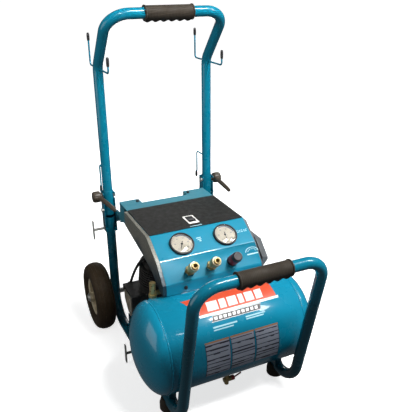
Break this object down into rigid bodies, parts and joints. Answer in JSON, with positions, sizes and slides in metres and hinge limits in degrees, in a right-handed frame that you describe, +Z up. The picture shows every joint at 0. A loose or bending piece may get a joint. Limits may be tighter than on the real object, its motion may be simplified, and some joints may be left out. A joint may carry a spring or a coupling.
{
  "type": "air compressor",
  "caption": "Portable air compressor: horizontal tank under a sloped gauge console, motor-driven piston pump, two wheels, front carrying handle and a folding hose-hook handle.",
  "frame": {"origin": "on the floor, under the middle of the whole object's box, with the handle up", "axes": "+Z up, -Y towards the front handle and the control panel, +X to the right of someone who faces the panel"},
  "size_m": [0.5146, 0.766, 0.9882],
  "materials": {
    "tank_paint": "gloss enamel, blue-green",
    "frame_paint": "gloss enamel, teal",
    "channel_paint": "gloss enamel, pale teal",
    "console_paint": "gloss enamel, bright cyan-blue",
    "grip_rubber": "soft moulded rubber, slight sheen",
    "plated_steel": "zinc plated",
    "grey_steel": "grey, satin",
    "mat": "fine-grained dark grey mat",
    "silver_cover": "silver-grey, satin",
    "grey_cover": "dark grey, moulded",
    "black_plastic": "moulded black",
    "dial": "cream printed dial",
    "lens": "clear",
    "brass": "machined",
    "knob_collar": "dark red and black",
    "aluminium": "cast and machined",
    "white_plastic": "white, printed frame",
    "copper": "copper tube, slightly dulled",
    "black_casting": "black painted casting",
    "black_paint": "black, satin",
    "winding": "copper windings on a laminated core",
    "cable_rubber": "black sheath",
    "needle": "black",
    "knob_cap": "dark grey, ribbed",
    "red_plastic": "red dipped lever",
    "tyre": "dark rubber, moulded tread",
    "rim_paint": "cream-silver, pressed steel",
    "lever_plastic": "dark brown-black, moulded"
  },
  "bodies": {
    "frame": {"tank_shell": "tank_paint", "tank_heads": "tank_paint", "tank_saddles": "frame_paint", "side_tubes": "frame_paint", "front_handle_tube": "frame_paint", "front_handle_grip": "grip_rubber", "front_feet": "grip_rubber", "axle": "plated_steel", "hinge_brackets": "frame_paint", "fasteners": "plated_steel", "cord_posts": "grey_steel", "cross_channel": "channel_paint", "console_panel": "console_paint", "console_mat": "mat", "left_side_cover": "silver_cover", "right_side_cover": "grey_cover", "gauge_cases": "black_plastic", "gauge_dials": "dial", "gauge_lenses": "lens", "coupler_bodies": "brass", "regulator_body": "knob_collar", "air_manifold": "aluminium", "switch_bezel": "white_plastic", "pressure_switch": "black_plastic", "discharge_tube": "copper", "check_valve": "brass", "safety_valve": "brass", "drain_valve": "brass", "pump_base": "frame_paint", "pump_crankcase": "black_casting", "crankcase_cover": "aluminium", "pump_cylinder": "black_casting", "pump_head": "black_casting", "air_filter": "black_plastic", "motor_shell": "black_paint", "motor_stator": "winding", "power_cable": "cable_rubber"},
    "tank_gauge_hand": {"tank_needle": "needle"},
    "outlet_gauge_hand": {"outlet_needle": "needle"},
    "left_sleeve": {"left_coupler_sleeve": "brass"},
    "right_sleeve": {"right_coupler_sleeve": "brass"},
    "regulator": {"regulator_knob": "knob_cap"},
    "rocker": {"switch_rocker": "black_plastic"},
    "safety_pull": {"safety_ring": "plated_steel"},
    "drain": {"drain_lever": "red_plastic"},
    "piston": {"piston": "aluminium"},
    "rod": {"connecting_rod": "aluminium"},
    "rotor": {"motor_rotor": "plated_steel", "cooling_fan": "black_plastic"},
    "left_wheel": {"left_tyre": "tyre", "left_rim": "rim_paint"},
    "right_wheel": {"right_tyre": "tyre", "right_rim": "rim_paint"},
    "handle": {"upper_handle_tube": "frame_paint", "upper_handle_grip": "grip_rubber", "hose_hooks": "frame_paint", "hook_tips": "black_plastic", "clamp_bolts": "plated_steel"},
    "left_lever": {"left_clamp_lever": "lever_plastic"},
    "right_lever": {"right_clamp_lever": "lever_plastic"}
  },
  "joints": [
    {"name": "handle_fold", "type": "hinge", "parent": "frame", "child": "handle", "pos_m": [0, 0.275, 0.4], "axis": [1, 0, 0], "range_deg": [0, 84]},
    {"name": "left_clamp_turn", "type": "hinge", "parent": "handle", "child": "left_lever", "pos_m": [-0.19, 0.275, 0.446], "axis": [1, 0, 0], "range_deg": [-40, 0]},
    {"name": "right_clamp_turn", "type": "hinge", "parent": "handle", "child": "right_lever", "pos_m": [0.19, 0.275, 0.446], "axis": [1, 0, 0], "range_deg": [-40, 60]},
    {"name": "left_wheel_spin", "type": "hinge", "parent": "frame", "child": "left_wheel", "pos_m": [-0.22, 0.275, 0.108], "axis": [1, 0, 0], "continuous": true},
    {"name": "right_wheel_spin", "type": "hinge", "parent": "frame", "child": "right_wheel", "pos_m": [0.22, 0.275, 0.108], "axis": [1, 0, 0], "continuous": true},
    {"name": "tank_hand_turn", "type": "hinge", "parent": "frame", "child": "tank_gauge_hand", "pos_m": [-0.064, -0.05541, 0.40811], "axis": [0, -0.5199, 0.8542], "range_deg": [-300, 0], "stiffness_Nm_per_rad": 0.001},
    {"name": "outlet_hand_turn", "type": "hinge", "parent": "frame", "child": "outlet_gauge_hand", "pos_m": [0.064, -0.05541, 0.40811], "axis": [0, -0.5199, 0.8542], "range_deg": [-324, 0], "stiffness_Nm_per_rad": 0.001},
    {"name": "left_sleeve_slide", "type": "slide", "parent": "frame", "child": "left_sleeve", "axis": [0, 0.7448, -0.6672], "range_m": [0, 0.006], "stiffness_N_per_m": 1500, "springref_m": -0.003},
    {"name": "right_sleeve_slide", "type": "slide", "parent": "frame", "child": "right_sleeve", "axis": [0, 0.7448, -0.6672], "range_m": [0, 0.006], "stiffness_N_per_m": 1500, "springref_m": -0.003},
    {"name": "regulator_turn", "type": "hinge", "parent": "frame", "child": "regulator", "pos_m": [0.056, -0.12659, 0.36955], "axis": [0, -0.7448, 0.6672], "range_deg": [-1080, 0]},
    {"name": "rocker_tilt", "type": "hinge", "parent": "frame", "child": "rocker", "pos_m": [0, 0.035, 0.4295], "axis": [1, 0, 0], "range_deg": [0, 10]},
    {"name": "safety_pull_slide", "type": "slide", "parent": "frame", "child": "safety_pull", "axis": [0, 0, 1], "range_m": [0, 0.004], "stiffness_N_per_m": 1500, "springref_m": -0.002},
    {"name": "drain_turn", "type": "hinge", "parent": "frame", "child": "drain", "pos_m": [0, -0.195, 0.044], "axis": [1, 0, 0], "range_deg": [0, 90]},
    {"name": "piston_stroke", "type": "slide", "parent": "frame", "child": "piston", "axis": [0, -0.2756, 0.9613], "range_m": [-0.036, 0]},
    {"name": "rod_swing", "type": "hinge", "parent": "piston", "child": "rod", "pos_m": [-0.09, 0.08682, 0.2742], "axis": [1, 0, 0], "range_deg": [-10, 10]},
    {"name": "rotor_spin", "type": "hinge", "parent": "frame", "child": "rotor", "pos_m": [0, 0.121, 0.155], "axis": [1, 0, 0], "continuous": true}
  ]
}
